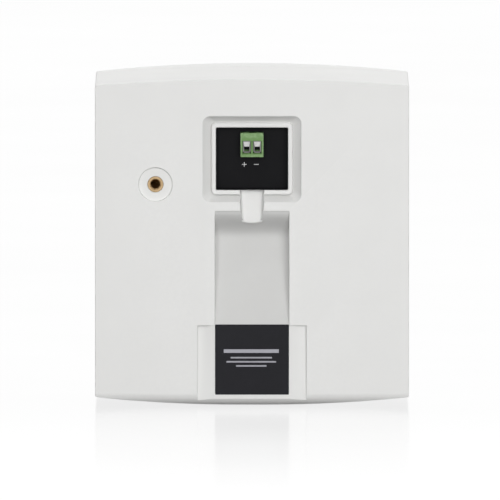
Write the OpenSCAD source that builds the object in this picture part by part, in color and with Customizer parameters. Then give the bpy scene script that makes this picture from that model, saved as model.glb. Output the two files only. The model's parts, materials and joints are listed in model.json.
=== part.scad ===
// Passive two-way loudspeaker cabinet for a wall bracket.
// The mounting face lies in the plane Y = 0 and looks along -Y, the grille looks along +Y.
// The origin is the middle of the mounting face. +Z is up. Millimetres.

/* [Cabinet] */
// Width of the cabinet
body_w = 228; // [220:1:236]
// Height at the middle of the mounting face
body_h = 238; // [234:1:244]
// Depth from the mounting face to the middle of the grille
body_d = 150; // [148:1:156]
// Depth at the two sides
side_d = 128; // [126:1:132]
// How far the top face rises from its ends to its middle
top_rise = 4.4; // [3:0.1:6]
// How far the underside drops from its ends to its middle
bottom_rise = 6.2; // [4:0.1:8]
// Radius of the four corners seen from behind
corner_r = 1.5; // [1.5:0.5:3]
// Radius of the lower rear edge
heel_r = 9.3; // [8:0.1:10]
// Thickness of the moulded walls
wall = 3.5; // [3:0.1:4]

/* [Terminal well] */
// Outer width of the moat round the terminal panel
moat_w = 70.4; // [69:0.2:72]
// Outer height of the moat
moat_h = 61.3; // [60:0.1:63]
// Height of the well's middle above the origin
well_z = 60.8; // [60:0.1:62]
// Width of the terminal panel's window
window_w = 52.3; // [51:0.1:53]
// Height of the terminal panel's window
window_h = 45.4; // [45:0.1:46]
// Width of the cable trough at the window
trough_w = 18.1; // [17:0.1:19]

/* [Bracket channel] */
// Width of the channel that takes the wall bracket
channel_w = 54; // [52:0.5:56]
// Height of the channel's top edge above the origin
channel_top = 22.9; // [22:0.1:24]
// Deepest part of the channel
channel_d = 15; // [12:0.5:16]
// Width over the two side pockets
pocket_w = 78.8; // [76:0.2:80]
// Height of the pockets' top edge, below the origin
pocket_top = -60.4; // [-62:0.1:-60]

/* [Safety insert] */
// Distance of the insert from the middle line
insert_x = -70.1; // [-72:0.1:-68]
// Height of the insert above the origin
insert_z = 42.3; // [41:0.1:44]
// Diameter of the tapping bore of the M8 thread
insert_bore = 6.8; // [6.6:0.1:7]

/* [Drivers] */
// Height of the woofer's axis
woofer_z = -36; // [-37:0.5:-35]
// Height of the tweeter's axis
tweeter_z = 70; // [69:0.5:71]

/* [Hidden] */

// Cabinet, seen in section along Y
cabinet_d = 116;          // front rim of the rear cabinet
ledge_y = 104.5;          // ledge that the baffle's gasket lies on
gasket_t = 1.5;
baffle_y = ledge_y + gasket_t;
baffle_t = 5;
face_y = baffle_y + baffle_t;
rim_gap = 0.4;            // seam between cabinet and grille frame
top_z = body_h / 2;
bottom_z = -body_h / 2;
bow = body_d - side_d;
bow_r = (pow(body_w / 2, 2) + pow(bow, 2)) / (2 * bow);
top_r = (pow(body_w / 2, 2) + pow(top_rise, 2)) / (2 * top_rise);
bottom_r = (pow(body_w / 2, 2) + pow(bottom_rise, 2)) / (2 * bottom_rise);

// Well, trough, channel and pockets: depths below the mounting face
moat_d = 7;
moat_floor = 0.5;         // width of the flat round the collar's foot
collar_w = 58.8;
collar_h = 52.3;
collar_d = 2.5;
panel_d = 12;
trough_start_d = 9.5;
trough_end_d = 5;
trough_end_w = 14.9;
trough_end_z = 14.2;
land_d = 1;               // shallow land that carries the label
pocket_d = 3.6;           // pockets at their outer top corners
channel_lip_d = 1;        // channel depth just below its top edge
channel_ramp = 20;        // height over which the channel reaches its full depth
deepest_z = channel_top - channel_ramp;
recess_r = 12.3;          // shallow round recess of the safety insert
recess_d = 2.2;
insert_r = 5.85;
insert_l = 16;

// Terminal block
pole_pitch = 7.62;
plug_w = 16.5;
plug_h = 17.4;
plug_z = 70.8;
plug_y = 3;
plug_d = 10;
nose_w = 14.2;
nose_h = 9.4;
nose_l = 6.3;
cage_y = 8.5;             // axis of the clamp screws
contact_z = 69.8;         // underside of the contact bars

// Screws
tapping_r = 1.6;
screw_play = 0.05;
baffle_screw_at = [for (x = [-103, 103], z = [-98, 0, 98]) [x, z]];
peg_at = [for (x = [-96, 96], z = [-72, 72]) [x, z]];
woofer_screw_r = 63.4;
tweeter_screw_r = 29.5;
board_screw_at = [for (x = [-34, 34], z = [-29, 29]) [x, well_z + z]];

round_fn = 96;
small_fn = 32;

// ---- shared shapes ----

// Extrudes an outline drawn in X and Z along +Y, from y0 over t
module plate(y0, t) {
    translate([0, y0 + t, 0]) rotate([90, 0, 0]) linear_extrude(t) children();
}

// Turns a profile drawn as radius and Y about an axis along Y through x, z
module turned(x = 0, z = 0, fn = round_fn) {
    translate([x, 0, z]) rotate([-90, 0, 0]) rotate_extrude($fn = fn) children();
}

module ring(x, z, r_in, r_out, y0, y1, fn = round_fn) {
    turned(x, z, fn) translate([r_in, y0]) square([r_out - r_in, y1 - y0]);
}

module rod(x, z, r, y0, y1, fn = small_fn) {
    translate([x, y0, z]) rotate([-90, 0, 0]) cylinder(h = y1 - y0, r = r, $fn = fn);
}

function arc(cx, cz, r, a0, a1, n) =
    [for (i = [0:n]) let (a = a0 + (a1 - a0) * i / n) [cx + r * cos(a), cz + r * sin(a)]];

function rounded_points(w, h, r, n = 5) = concat(
    arc(w / 2 - r, h / 2 - r, r, 0, 90, n), arc(r - w / 2, h / 2 - r, r, 90, 180, n),
    arc(r - w / 2, r - h / 2, r, 180, 270, n), arc(w / 2 - r, r - h / 2, r, 270, 360, n));

// Outline of the cabinet seen from behind: straight sides, arched top and underside
function body_points(inset) = let (
    w = body_w / 2 - inset,
    rc = max(corner_r - inset, 1),
    rt = top_r - inset,
    rb = bottom_r - inset,
    ct = top_z - top_r,
    cb = bottom_z + bottom_r,
    zt = ct + sqrt(pow(rt - rc, 2) - pow(w - rc, 2)),
    zb = cb - sqrt(pow(rb - rc, 2) - pow(w - rc, 2)),
    at = atan2(zt - ct, w - rc),
    ab = atan2(cb - zb, w - rc)
) concat(
    arc(w - rc, zt, rc, 0, at, 5), arc(0, ct, rt, at, 180 - at, 24),
    arc(rc - w, zt, rc, 180 - at, 180, 5), arc(rc - w, zb, rc, 180, 180 + ab, 5),
    arc(0, cb, rb, 180 + ab, 360 - ab, 24), arc(w - rc, zb, rc, 360 - ab, 360, 5));

module body_outline(inset = 0) polygon(body_points(inset));

module body_ring(inner, outer, y0, y1) {
    plate(y0, y1 - y0) difference() {
        body_outline(inner);
        body_outline(outer);
    }
}

// The space behind the bowed front face
module behind_bow(back = 0) {
    translate([0, body_d - bow_r, bottom_z - 5])
        cylinder(h = body_h + 10, r = bow_r - back, $fn = 256);
}

// A wire through the given points, swept as one closed tube
function unit(v) = v / norm(v);
function heading(p, i) = unit(p[min(i + 1, len(p) - 1)] - p[max(i - 1, 0)]);
function wire_ring(p, i, r, sides) = let (
    t = heading(p, i),
    side = unit(cross(t, [0.31, 0.22, 0.93])),
    up = cross(side, t)
) [for (k = [0:sides - 1]) p[i] + r * (side * cos(360 * k / sides) + up * sin(360 * k / sides))];

// Points on a smooth curve through the route's own points
function knot(p, i) = p[max(0, min(len(p) - 1, i))];
function curve_point(p, i, t) = 0.5 * (2 * knot(p, i)
    + (knot(p, i + 1) - knot(p, i - 1)) * t
    + (2 * knot(p, i - 1) - 5 * knot(p, i) + 4 * knot(p, i + 1) - knot(p, i + 2)) * t * t
    + (3 * knot(p, i) - knot(p, i - 1) - 3 * knot(p, i + 1) + knot(p, i + 2)) * t * t * t);
function curve(p, n = 4) = concat(
    [for (i = [0:len(p) - 2], k = [0:n - 1]) curve_point(p, i, k / n)], [p[len(p) - 1]]);

module wire(route, d, sides = 8) {
    p = curve(route);
    n = len(p);
    polyhedron(
        points = [for (i = [0:n - 1]) each wire_ring(p, i, d / 2, sides)],
        faces = concat(
            [[for (k = [sides - 1:-1:0]) k]],
            [for (i = [0:n - 2], k = [0:sides - 1]) let (k2 = (k + 1) % sides)
                [i * sides + k, i * sides + k2, (i + 1) * sides + k2, (i + 1) * sides + k]],
            [[for (k = [0:sides - 1]) (n - 1) * sides + k]]));
}

// Pan head screw along -Y: the head stands on the face at y
module pan_screw(x, z, y, shank_r, shank_l, head_r, head_h) {
    difference() {
        union() {
            rod(x, z, head_r, y, y + head_h);
            rod(x, z, shank_r, y - shank_l, y + 0.5);
        }
        translate([x, y + head_h, z]) for (a = [0, 90]) rotate([0, a, 0])
            cube([head_r * 1.1, head_h, head_r * 0.3], center = true);
    }
}

// ---- rear cabinet ----

// Depth of the channel's floor at height z
function ease(t) = let (c = max(0, min(1, t))) c * c * (3 - 2 * c);
function channel_depth(z) =
    channel_lip_d
    + (channel_d - channel_lip_d) * ease((channel_top - z) / channel_ramp)
    - (channel_d - land_d) * pow(min(1, max(0, (deepest_z - z) / (deepest_z - pocket_top))), 1.5);

// The channel and, below it, the land for the label, open towards the underside
module channel_cut() {
    steps = 28;
    translate([-channel_w / 2, 0, 0]) rotate([90, 0, 90])
        linear_extrude(channel_w) polygon(concat(
            [[-1, channel_top]],
            [for (i = [0:steps]) let (z = channel_top + (pocket_top - channel_top) * i / steps)
                [channel_depth(z), z]],
            [[land_d, bottom_z - 1], [-1, bottom_z - 1]]));
}

// A pocket beside the land: its floor sinks outwards, and rises again towards the underside
module pocket_cut() {
    inner = channel_w / 2 - 1;
    outer = pocket_w / 2;
    low = bottom_z - 1;
    intersection() {
        translate([0, 0, low]) linear_extrude(pocket_top - low)
            polygon([[inner, -1], [outer, -1], [outer, pocket_d], [inner, land_d - 0.1]]);
        translate([inner - 1, 0, 0]) rotate([90, 0, 90]) linear_extrude(outer)
            polygon([[-1, pocket_top], [pocket_d + 0.1, pocket_top], [land_d + 0.3, low], [-1, low]]);
    }
}

// Moat round the collar: a sloped outer wall and a narrow floor
module moat_cut() {
    floor_w = collar_w + 2 * moat_floor;
    floor_h = collar_h + 2 * moat_floor;
    translate([0, 0, well_z]) difference() {
        frustum(moat_w, moat_h, floor_w, floor_h, -0.01, moat_d);
        plate(collar_d, moat_d) polygon(rounded_points(collar_w, collar_h, 2.8));
    }
}

// Four sloped sides between two rectangles: w0 x h0 at y0 and w1 x h1 at y1
module frustum(w0, h0, w1, h1, y0, y1) {
    corners = [[-1, -1], [1, -1], [1, 1], [-1, 1]] / 2;
    polyhedron(
        points = concat([for (c = corners) [c[0] * w0, y0, c[1] * h0]],
            [for (c = corners) [c[0] * w1, y1, c[1] * h1]]),
        faces = [[3, 2, 1, 0], [4, 5, 6, 7], [0, 1, 5, 4], [1, 2, 6, 5], [2, 3, 7, 6], [3, 0, 4, 7]]);
}

// Trough that carries the cable from the window down to the channel
module trough_cut() {
    z0 = well_z - window_h / 2 + 0.5;
    z1 = trough_end_z;
    w0 = trough_w / 2;
    w1 = trough_end_w / 2;
    polyhedron(
        points = [[-w0, -1, z0], [w0, -1, z0], [w0, trough_start_d, z0], [-w0, trough_start_d, z0],
            [-w1, -1, z1], [w1, -1, z1], [w1, trough_end_d, z1], [-w1, trough_end_d, z1]],
        faces = [[3, 2, 1, 0], [4, 5, 6, 7], [0, 1, 5, 4], [1, 2, 6, 5], [2, 3, 7, 6], [3, 0, 4, 7]]);
}

// Tongue that carries the trough's floor into the channel
module tongue() {
    w = trough_end_w - 0.2;
    translate([-w / 2, trough_end_d - 0.5, trough_end_z])
        cube([w, channel_d - trough_end_d, channel_top - trough_end_z + 1]);
}

// Everything behind the heel, the round along the lower rear edge. It is straight, so the
// arched underside runs out of it towards the sides
module within_heel() {
    rotate([90, 0, 90]) linear_extrude(body_w + 2, center = true)
        polygon(concat(arc(heel_r, bottom_z + heel_r, heel_r, -90, -180, 12),
            [[0, body_h], [cabinet_d, body_h],
            [cabinet_d, bottom_z - 1], [heel_r, bottom_z - 1]]));
}

// The rear panel with everything sunk into it. With cabinet_walls it makes one moulding, parted
// here along the panel's inner face
module rear_cabinet() color("whitesmoke") {
    difference() {
        union() {
            intersection() {
                plate(0, wall) body_outline(0);
                within_heel();
            }
            intersection() {
                recess_backing();
                plate(0, cabinet_d) body_outline(wall);
            }
            rod(insert_x, insert_z, 11, wall - 0.01, insert_l + 6);
            for (p = board_screw_at) rod(p[0], p[1], 3.5, panel_d - 0.01, 22);
        }
        cabinet_recesses();
        rod(insert_x, insert_z, insert_r + screw_play, -1, recess_d + insert_l);
        for (p = board_screw_at) rod(p[0], p[1], 1.25 + screw_play, 14, 23);
    }
}

module cabinet_walls() color("whitesmoke") {
    difference() {
        union() {
            intersection() {
                body_ring(0, wall, wall, cabinet_d);
                within_heel();
            }
            body_ring(wall - 0.01, wall + 6, ledge_y - 6, ledge_y);
            for (p = baffle_screw_at) baffle_boss(p);
        }
        for (p = baffle_screw_at)
            rod(p[0], p[1], tapping_r + screw_play, ledge_y - 22, ledge_y + 1);
    }
}

// A boss stands on the side wall and takes a baffle screw
module baffle_boss(p) {
    side = sign(p[0]);
    rod(p[0], p[1], 5, ledge_y - 26, ledge_y);
    translate([side > 0 ? p[0] : -body_w / 2 + wall - 0.01, ledge_y - 26, p[1] - 2])
        cube([body_w / 2 - wall - abs(p[0]) + 0.01, 26, 4]);
}

// Material behind the recesses, so that the wall goes all the way round them
module recess_backing() {
    translate([-moat_w / 2 - wall, 0.2, well_z - moat_h / 2 - wall])
        cube([moat_w + 2 * wall, panel_d - 0.2, moat_h + 2 * wall]);
    translate([-channel_w / 2 - wall, 0.2, pocket_top - 8])
        cube([channel_w + 2 * wall, channel_d + wall - 0.2, well_z - moat_h / 2 - pocket_top + 8]);
    translate([-pocket_w / 2 - wall, 0.2, bottom_z + wall])
        cube([pocket_w + 2 * wall, pocket_d + wall - 0.2, pocket_top + wall - bottom_z - wall]);
}

module cabinet_recesses() {
    moat_cut();
    translate([0, 0, well_z]) plate(0, panel_d + 1)
        polygon(rounded_points(window_w, window_h, 0.8, 2));
    difference() {
        channel_cut();
        tongue();
    }
    trough_cut();
    pocket_cut();
    mirror([1, 0, 0]) pocket_cut();
    rod(insert_x, insert_z, recess_r, -1, recess_d, round_fn);
}

module safety_insert() color("goldenrod") {
    turned(insert_x, insert_z) polygon([
        [insert_bore / 2, recess_d + 0.9], [insert_bore / 2 + 0.75, recess_d + 0.1],
        [insert_r - 0.3, recess_d + 0.1], [insert_r, recess_d + 0.4],
        [insert_r, recess_d + insert_l - 0.3], [insert_r - 0.3, recess_d + insert_l],
        [insert_bore / 2, recess_d + insert_l]]);
}

module rating_label() color("black") {
    translate([0, 0, -85.4]) plate(land_d - 0.25, 0.25)
        polygon(rounded_points(channel_w - 0.3, 51.2, 0.6, 2));
}

// ---- terminal and crossover ----

module terminal_panel() color("black") {
    difference() {
        union() {
            translate([0, 0, well_z]) plate(panel_d, 2)
                polygon(rounded_points(window_w + 5.6, window_h + 5.6, 2));
            for (x = [-24, 24], z = [-20, 20]) rod(x, well_z + z, 2.5, panel_d + 1.9, 22);
        }
        translate([0, 0, plug_z]) plate(panel_d - 1, 4)
            square([plug_w + 0.8, plug_h + 0.8], center = true);
    }
}

module pole_positions() for (s = [-1, 1]) translate([s * pole_pitch / 2, 0, 0]) children();

module block(w, y0, y1, z0, z1) translate([-w / 2, y0, z0]) cube([w, y1 - y0, z1 - z0]);

header_y = plug_y + plug_d + 0.2;
nose_z = plug_z - 2.9;

module terminal_header() color("seagreen") {
    difference() {
        block(plug_w, header_y, 22, nose_z - 6, nose_z + 7);
        block(nose_w + 0.6, header_y - 1, 20.2, nose_z - nose_h / 2 - 0.3, nose_z + nose_h / 2 + 0.3);
        pole_positions() block(1.1, 19, 23, nose_z - 0.55, nose_z + 0.55);
    }
}

module header_pins() color("silver") {
    pole_positions() block(1, 14.5, 25, nose_z - 0.5, nose_z + 0.5);
}

module terminal_plug() color("mediumseagreen") {
    difference() {
        union() {
            block(plug_w, plug_y, plug_y + plug_d, plug_z - plug_h / 2, plug_z + plug_h / 2);
            block(nose_w, plug_y + plug_d - 0.01, plug_y + plug_d + nose_l,
                nose_z - nose_h / 2, nose_z + nose_h / 2);
        }
        pole_positions() {
            // wire entry, with the cage's shaft behind it
            block(6.5, plug_y - 1, 5.4, 64.2, 73.8);
            block(6.1, 4.2, 12, 64.6, 77.2);
            // screwdriver shaft
            translate([0, cage_y, 76]) cylinder(h = 5, r = 2.4, $fn = small_fn);
            // contact chamber in the nose, open where the pin enters
            block(4.2, 11, plug_y + plug_d + nose_l - 0.8, nose_z - 1.3, contact_z + 1.6);
            block(1.8, 15, plug_y + plug_d + nose_l + 1, nose_z - 0.9, nose_z + 0.9);
        }
    }
}

module plug_contacts() color("silver") {
    pole_positions() {
        block(3.4, 4.6, 13.5, contact_z, contact_z + 1.2);
        // front tab, narrower at its foot
        plate(4.4, 0.7) polygon([[-1.7, contact_z - 0.2], [1.7, contact_z - 0.2],
            [2.4, contact_z + 3.4], [-2.4, contact_z + 3.4]]);
        difference() {
            block(3.4, 13, 18, nose_z - 1.1, contact_z + 1.2);
            block(1.3, 13.6, 19, nose_z - 0.65, nose_z + 0.65);
        }
    }
}

// Cage clamp: wraps round the contact bar and lifts the wire against it
module clamp_cage(s) color("lightgray") {
    translate([s * pole_pitch / 2, 0, 0]) difference() {
        block(5.5, 5.6, 11.4, 65, 74.2);
        block(3.9, 5, 12, 65.9, 72.8);
        for (m = [-1, 1]) translate([m * 2.75, 8.5, 65]) rotate([0, 45, 0])
            cube([1.4, 7, 1.4], center = true);
        translate([0, cage_y, 72]) cylinder(h = 3, r = 1.55, $fn = small_fn);
    }
}

module clamp_screw(s) color("silver") {
    translate([s * pole_pitch / 2, cage_y, 0]) difference() {
        union() {
            translate([0, 0, contact_z + 1.3]) cylinder(h = 6, r = 1.5, $fn = small_fn);
            translate([0, 0, 76.9]) cylinder(h = 2, r = 2, $fn = small_fn);
        }
        translate([0, 0, 78.9]) cube([5, 0.6, 1.8], center = true);
    }
}

module crossover_board() color("darkgreen") {
    difference() {
        translate([0, 0, well_z]) plate(22, 1.6) square([76, 66], center = true);
        for (p = board_screw_at) rod(p[0], p[1], 1.6, 21, 25);
        pole_positions() block(1.1, 21, 25, nose_z - 0.55, nose_z + 0.55);
    }
}

module board_screws() color("silver") {
    for (p = board_screw_at) pan_screw(p[0], p[1], 23.6, 1.25, 8, 2.7, 1.8);
}

tab_at = [[-26, 36], [-18, 36], [18, 86], [26, 86]];

module board_tabs() color("silver") {
    for (p = tab_at) translate([p[0] - 2.4, 23.6, p[1] - 0.4]) cube([4.8, 7, 0.8]);
}

module inductor_bobbin() color("dimgray") {
    ring(-15, 55, 4.6, 6, 23.6, 38);
    ring(-15, 55, 5.9, 13.5, 23.6, 24.8);
    ring(-15, 55, 5.9, 13.5, 36.8, 38);
}

module inductor_winding() color("chocolate") ring(-15, 55, 6.05, 12.6, 24.85, 36.75);

module crossover_capacitors() color("midnightblue") {
    for (p = [[8, 44], [22, 58]]) turned(p[0], p[1], 48) polygon([[0, 23.6], [5.6, 23.6], [6.2, 24.2],
        [6.2, 26], [5.8, 26.6], [6.2, 27.2], [6.2, 44], [5.6, 44.6], [0, 44.6]]);
}

module crossover_resistor() color("ivory") {
    translate([-25, 23.6, 80]) cube([32, 8, 8]);
}

// Leads from the board's tabs to the drivers, two wires each
module woofer_leads() color("firebrick") {
    wire([[-26, 31, 36], [-27, 36, 34], [-36, 42, 20], [-52, 52, -2], [-57, 70, -22],
        [-54, 82, -30], [-51, 84, -31], [-48.5, 84, -31]], 2);
    wire([[-18, 31, 36], [-19, 36, 32], [-34, 42, 12], [-58, 52, -12], [-61, 70, -34],
        [-55, 82, -40], [-51, 84, -41], [-48.5, 84, -41]], 2);
}

module tweeter_leads() color("dimgray") {
    wire([[18, 31, 86], [18, 36, 88], [24, 46, 92], [34, 62, 86], [39, 78, 79], [36, 87.3, 75],
        [32.6, 87.3, 75]], 2);
    wire([[26, 31, 86], [27, 36, 86], [36, 46, 84], [42, 62, 74], [42, 78, 67], [36, 87.3, 65],
        [32.6, 87.3, 65]], 2);
}

module damping_pad() color("gainsboro") {
    translate([-84, 24, -108]) cube([168, 50, 23]);
}

// ---- baffle ----

module front_baffle() color("dimgray") {
    difference() {
        union() {
            plate(baffle_y, baffle_t) body_outline(wall + 0.4);
            // stiffening ribs behind the woofer's and the tweeter's openings
            ring(0, woofer_z, 59, 61.5, baffle_y - 8, baffle_y + 1);
            ring(0, tweeter_z, 28.6, 30.6, baffle_y - 8, baffle_y + 1);
        }
        rod(0, woofer_z, 59, baffle_y - 9, face_y + 1, round_fn);
        rod(0, tweeter_z, 28.6, baffle_y - 9, face_y + 1, round_fn);
        for (p = baffle_screw_at) rod(p[0], p[1], 2, baffle_y - 1, face_y + 1);
        for (p = peg_at) rod(p[0], p[1], 5.5, baffle_y - 1, face_y + 1);
        woofer_screw_holes();
        tweeter_screw_holes();
    }
}

module woofer_screw_holes()
    for (a = [45:90:315]) rod(woofer_screw_r * cos(a), woofer_z + woofer_screw_r * sin(a),
        tapping_r + screw_play, baffle_y - 9, face_y + 4);

module tweeter_screw_holes()
    for (a = [90:120:330]) rod(tweeter_screw_r * cos(a), tweeter_z + tweeter_screw_r * sin(a),
        tapping_r + screw_play, baffle_y - 9, face_y + 4);

module baffle_gasket() color("black") {
    difference() {
        body_ring(wall + 0.6, wall + 5.6, ledge_y, baffle_y);
        for (p = baffle_screw_at) rod(p[0], p[1], 2.2, ledge_y - 1, baffle_y + 1);
    }
}

module baffle_screws() color("dimgray") {
    for (p = baffle_screw_at) pan_screw(p[0], p[1], face_y, tapping_r, 20, 3.6, 2.4);
}

module grille_sockets() color("black") {
    for (p = peg_at) difference() {
        union() {
            rod(p[0], p[1], 5.45, baffle_y - 1.2, face_y);
            ring(p[0], p[1], 3.4, 6.8, face_y, face_y + 1, small_fn);
            ring(p[0], p[1], 3.4, 5.45, baffle_y - 4, baffle_y, small_fn);
        }
        rod(p[0], p[1], 3.4, baffle_y - 5, face_y + 2);
    }
}

// ---- woofer ----

module woofer_frame() color("dimgray") {
    difference() {
        // flange with a step for the surround, then the basket down to the magnet's seat
        turned(0, woofer_z) polygon([
            [56, face_y], [60.1, face_y], [60.1, face_y + 3], [67, face_y + 3], [67, face_y],
            [58, face_y], [58, face_y - 3], [40, 76], [28, 76], [28, 78.4], [34, 78.4], [34, 82.4],
            [39.8, 82.4], [56, face_y - 4]]);
        for (a = [0:60:300]) translate([0, 0, woofer_z]) rotate([0, a, 0])
            translate([0, 83, -12]) cube([80, 19, 24]);
        woofer_screw_holes();
    }
}

module woofer_gasket() color("black") ring(0, woofer_z, 57.2, 60, face_y + 0.8, face_y + 3);

module woofer_screws() color("dimgray") {
    for (a = [45:90:315]) pan_screw(woofer_screw_r * cos(a), woofer_z + woofer_screw_r * sin(a),
        face_y + 3, tapping_r, 10, 3, 2);
}

module woofer_top_plate() color("silver") ring(0, woofer_z, 13.9, 36, 71, 76);

module woofer_magnet() color("black") ring(0, woofer_z, 18, 40, 56, 71);

module woofer_yoke() color("silver") {
    turned(0, woofer_z) polygon([[4, 51], [36, 51], [37, 52], [37, 56], [12.3, 56], [12.3, 76],
        [11.8, 76.5], [4, 76.5]]);
}

module woofer_terminal_strip() color("tan") {
    translate([-46, 74.5, woofer_z - 10]) cube([8.5, 1.5, 20]);
    translate([-46, 75.9, woofer_z - 10]) cube([1.5, 10.5, 20]);
    for (z = [-5, 5]) translate([-48.4, 80, woofer_z + z - 2.4]) cube([3, 0.8, 4.8]);
    for (z = [-5, 5]) translate([-48.4, 80, woofer_z + z - 2.4]) cube([0.8, 8, 4.8]);
}

// Flexible leads from the cone to the strip, through the frame's side window
module woofer_tinsel_leads() color("peru") {
    for (z = [-5, 5]) wire([[-28, 96.4, woofer_z + z], [-31, 92.4, woofer_z + z],
        [-36, 90, woofer_z + z], [-41, 89.8, woofer_z + z], [-45.2, 87, woofer_z + z]], 0.9);
}

spider_pleats = 4;
spider_in = 13.1;
spider_out = 38.4;

// Corrugated disc between the former and the frame
module woofer_spider() color("goldenrod") {
    steps = spider_pleats * 8;
    wave = [for (i = [0:steps]) [spider_in + 1 + (spider_out - 4.9 - spider_in) * i / steps,
        83.4 + 1.2 * sin(360 * spider_pleats * i / steps)]];
    outline = concat([[spider_in, 83.4]], wave, [[34.5, 82.4], [spider_out, 82.4]]);
    turned(0, woofer_z) polygon(concat(outline,
        [for (i = [len(outline) - 1:-1:0]) outline[i] + [0, 0.6]]));
}

// Half roll between the cone and the frame
module woofer_surround() color("black") {
    roll = arc(52, face_y, 4.2, 180, 0, 14);
    inner = arc(52, face_y, 3.4, 0, 180, 14);
    turned(0, woofer_z) polygon(concat([[46, face_y - 0.6], [46, face_y + 0.2], [47.8, face_y + 0.2]], roll,
        [[56.8, face_y + 0.8], [60, face_y + 0.8], [60, face_y]], inner, [[48.2, face_y - 0.6]]));
}

cone_rear_y = 88;
cone_front_y = face_y - 1.7;

module woofer_cone() color("dimgray") {
    turned(0, woofer_z) polygon([[13.1, cone_rear_y], [48, cone_front_y], [48, cone_front_y + 0.9],
        [46.6, cone_front_y + 0.9], [13.1, cone_rear_y + 1.1]]);
}

module woofer_former() color("tan") ring(0, woofer_z, 12.75, 13, 70, cone_rear_y + 2.6);

module woofer_voice_coil() color("chocolate") ring(0, woofer_z, 13.02, 13.55, 68.5, 79.5);

// Thin spherical cap with its rim at base_y
module cap(z, rim_r, rise, t, base_y) {
    sphere_r = (rim_r * rim_r + rise * rise) / (2 * rise);
    spread = asin(rim_r / sphere_r);
    middle = base_y + rise - sphere_r;
    turned(0, z) polygon(concat(
        arc(0, middle, sphere_r, 90 - spread, 88, 10), [[0, middle + sphere_r], [0, middle + sphere_r - t]],
        arc(0, middle, sphere_r - t, 88, 90 - spread, 10)));
}

module woofer_dust_cap() color("dimgray") cap(woofer_z, 16, 5, 0.6, cone_rear_y + 3.4);

// ---- tweeter ----

module tweeter_faceplate() color("dimgray") {
    difference() {
        turned(0, tweeter_z) polygon([[17.4, 109], [25, 109], [25, face_y], [33, face_y],
            [34, face_y + 1], [34, face_y + 2.6], [33.6, face_y + 3], [24, face_y + 3], [17.4, face_y]]);
        tweeter_screw_holes();
    }
}

module tweeter_screws() color("dimgray") {
    for (a = [90:120:330]) pan_screw(tweeter_screw_r * cos(a), tweeter_z + tweeter_screw_r * sin(a),
        face_y + 3, tapping_r, 8, 2.8, 1.8);
}

module tweeter_top_plate() color("silver") ring(0, tweeter_z, 12.95, 25, 105, 109);

module tweeter_magnet() color("black") ring(0, tweeter_z, 16, 27, 93, 105);

module tweeter_yoke() color("silver") {
    turned(0, tweeter_z) polygon([[0, 89], [24, 89], [25, 90], [25, 93], [12.1, 93], [12.1, 108.4],
        [8, 110], [0, 111]]);
}

module tweeter_tabs() color("tan") {
    translate([25.2, 86.5, tweeter_z - 9]) cube([3, 2.4, 18]);
    translate([22, 86.5, tweeter_z - 9]) cube([4, 2.4, 18]);
    for (z = [-5, 5]) translate([28, 86.9, tweeter_z + z - 2]) cube([4.4, 0.8, 4]);
}

module tweeter_surround() color("black") {
    turned(0, tweeter_z) polygon(concat([[12.75, 109.8], [12.75, 110.3]], arc(14.3, 110.2, 1.1, 180, 0, 8),
        [[16.9, 110.2], [16.9, 109.1], [15.6, 109.1], [15.6, 109.8]], arc(14.3, 109.9, 0.8, 0, 180, 8)));
}

module tweeter_dome() color("black") cap(tweeter_z, 12.7, 5.4, 0.4, 110.4);

module tweeter_voice_coil() color("chocolate") ring(0, tweeter_z, 12.4, 12.65, 104, 110);

// ---- grille ----

frame_back = cabinet_d + rim_gap;

module grille_frame() color("whitesmoke") {
    union() {
        intersection() {
            body_ring(0, 3.4, frame_back, body_d + 1);
            behind_bow(0);
        }
        intersection() {
            body_ring(3.38, 8, frame_back, body_d + 1);
            behind_bow(1.2);
        }
        for (p = peg_at) grille_ear(p);
    }
}

// Ear inside the frame that carries a peg
module grille_ear(p) {
    t = 4;
    rod(p[0], p[1], 6, frame_back, frame_back + t);
    translate([p[0] > 0 ? p[0] : -body_w / 2 + 7, frame_back, p[1] - 5])
        cube([body_w / 2 - 7 - abs(p[0]), t, 10]);
}

module grille_mesh() color("white") {
    intersection() {
        plate(frame_back, body_d) body_outline(3.6);
        difference() {
            behind_bow(0.2);
            behind_bow(1.2);
        }
    }
}

module grille_pegs() color("gray") {
    for (p = peg_at) turned(p[0], p[1], small_fn) polygon([[0, 103], [2, 103], [3, 104.5], [3, 106.5],
        [2.5, 107.5], [2.5, 113], [3, 114], [3, frame_back], [0, frame_back]]);
}

rear_cabinet();
cabinet_walls();
safety_insert();
rating_label();
terminal_panel();
terminal_header();
header_pins();
terminal_plug();
plug_contacts();
clamp_cage(-1);  // clamp_cage_plus
clamp_cage(1);  // clamp_cage_minus
clamp_screw(-1);  // clamp_screw_plus
clamp_screw(1);  // clamp_screw_minus
crossover_board();
board_screws();
board_tabs();
inductor_bobbin();
inductor_winding();
crossover_capacitors();
crossover_resistor();
woofer_leads();
tweeter_leads();
damping_pad();
front_baffle();
baffle_gasket();
baffle_screws();
grille_sockets();
woofer_frame();
woofer_gasket();
woofer_screws();
woofer_top_plate();
woofer_magnet();
woofer_yoke();
woofer_terminal_strip();
woofer_tinsel_leads();
woofer_spider();
woofer_surround();
woofer_cone();
woofer_former();
woofer_voice_coil();
woofer_dust_cap();
tweeter_faceplate();
tweeter_screws();
tweeter_top_plate();
tweeter_magnet();
tweeter_yoke();
tweeter_tabs();
tweeter_surround();
tweeter_dome();
tweeter_voice_coil();
grille_frame();
grille_mesh();
grille_pegs();
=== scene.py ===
"""Wall-mount loudspeaker cabinet seen from behind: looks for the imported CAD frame."""
import json
import math
import random

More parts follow.
